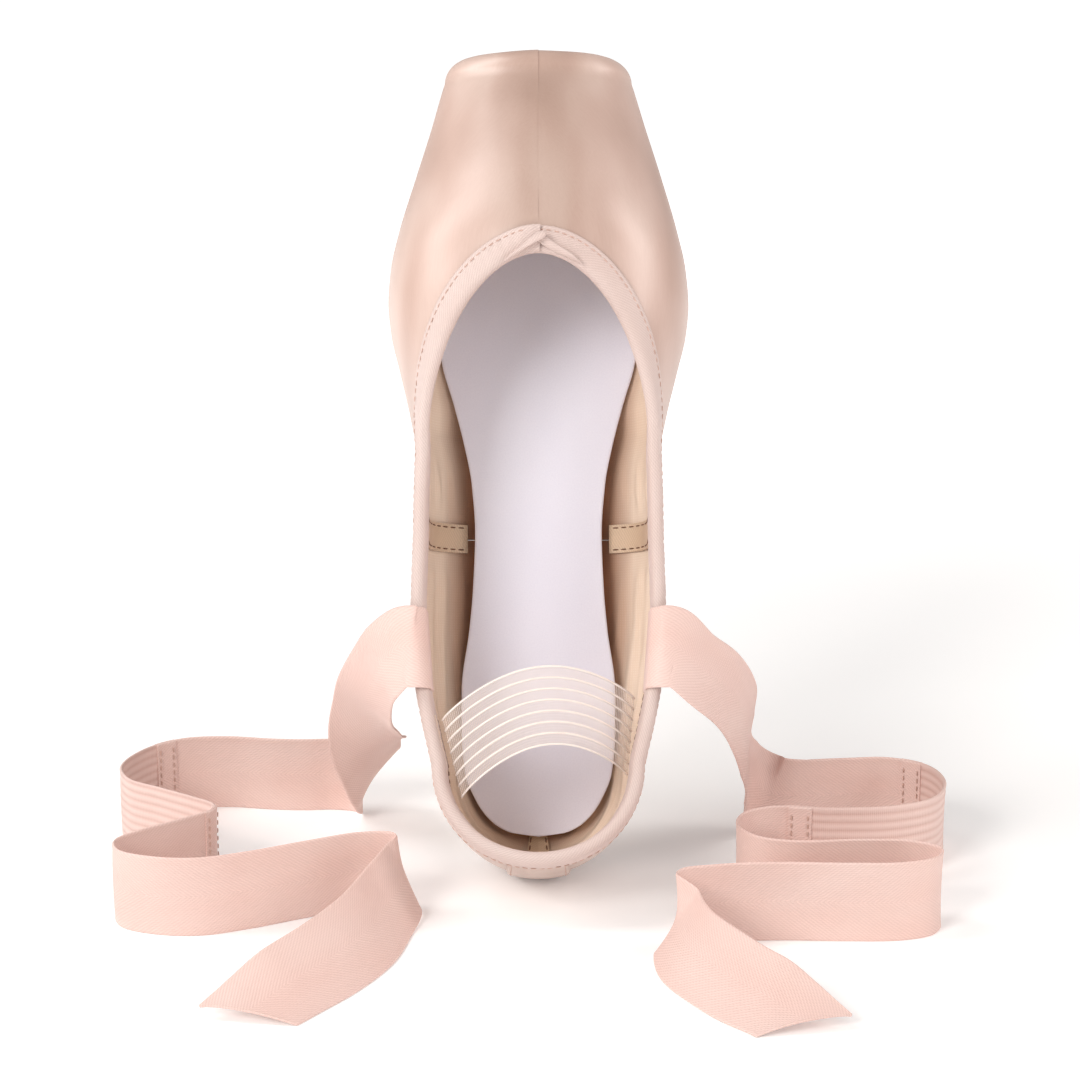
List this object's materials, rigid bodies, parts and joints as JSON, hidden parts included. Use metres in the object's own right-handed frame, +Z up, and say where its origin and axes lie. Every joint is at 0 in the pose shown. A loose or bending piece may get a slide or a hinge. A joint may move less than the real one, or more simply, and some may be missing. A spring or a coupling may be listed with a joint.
{
  "type": "pointe shoe",
  "caption": "Satin pointe shoe standing on its heel, with a flat platform toe, bound opening, drawstring, sheer heel elastic and loose ankle ribbons.",
  "frame": {"origin": "middle of the bottom of the whole slipper's box, on the floor that its heel and ribbons stand on", "axes": "+Z up, towards the toe; -Y the way the foot's opening faces; +X to the right seen from the opening. The sole leans back 24 degrees from vertical"},
  "size_m": [0.2322, 0.1994, 0.2183],
  "materials": {
    "satin": "pale peach-pink satin with a broad soft sheen along the shoe",
    "stiffener": "layers of cloth and paper stiffened with paste",
    "lining": "plain-woven natural cotton, softly creased",
    "seam_tape": "narrow cotton tape with a row of stitches along each edge",
    "outsole_leather": "thin suede-finished leather with a pressed edge",
    "shank": "stiff pressed board",
    "insole": "smooth pale lavender-white sock lining",
    "binding": "fine twill tape, folded over the edge and stitched",
    "cord": "soft braided cotton cord",
    "sheer_elastic": "sheer ribbed elastic mesh",
    "ribbon": "salmon-pink herringbone twill ribbon with a low sheen",
    "insert_elastic": "woven elastic dyed to match the ribbon"
  },
  "bodies": {
    "shoe": {"vamp_satin": "satin", "quarter_satin_left": "satin", "quarter_satin_right": "satin", "toe_box": "stiffener", "vamp_lining": "lining", "quarter_lining_left": "lining", "quarter_lining_right": "lining", "back_seam_tape": "seam_tape", "side_seam_tape_left": "seam_tape", "side_seam_tape_right": "seam_tape", "outsole": "outsole_leather", "sole_filler": "stiffener", "shank_board": "shank", "insole_sock": "insole", "heel_patch": "satin", "top_binding": "binding", "drawstring": "cord", "elastic_end_left": "sheer_elastic", "elastic_end_right": "sheer_elastic", "ribbon_left_near": "ribbon", "ribbon_left_elastic_insert": "insert_elastic", "ribbon_left_far": "ribbon", "ribbon_right_near": "ribbon", "ribbon_right_elastic_insert": "insert_elastic", "ribbon_right_far": "ribbon"},
    "elastic_band": {"heel_elastic": "sheer_elastic"},
    "cord_ends": {"drawstring_tail_left": "cord", "drawstring_tail_right": "cord"}
  },
  "joints": [
    {"name": "elastic_swing", "type": "hinge", "parent": "shoe", "child": "elastic_band", "pos_m": [0.00325, -0.01304, 0.04295], "axis": [0.9774, 0.2039, 0.055], "range_deg": [-12, 30]},
    {"name": "cord_ends_fold", "type": "hinge", "parent": "shoe", "child": "cord_ends", "pos_m": [0.0023, 0.0247, 0.17639], "axis": [-1, 0, 0], "range_deg": [0, 60]}
  ]
}
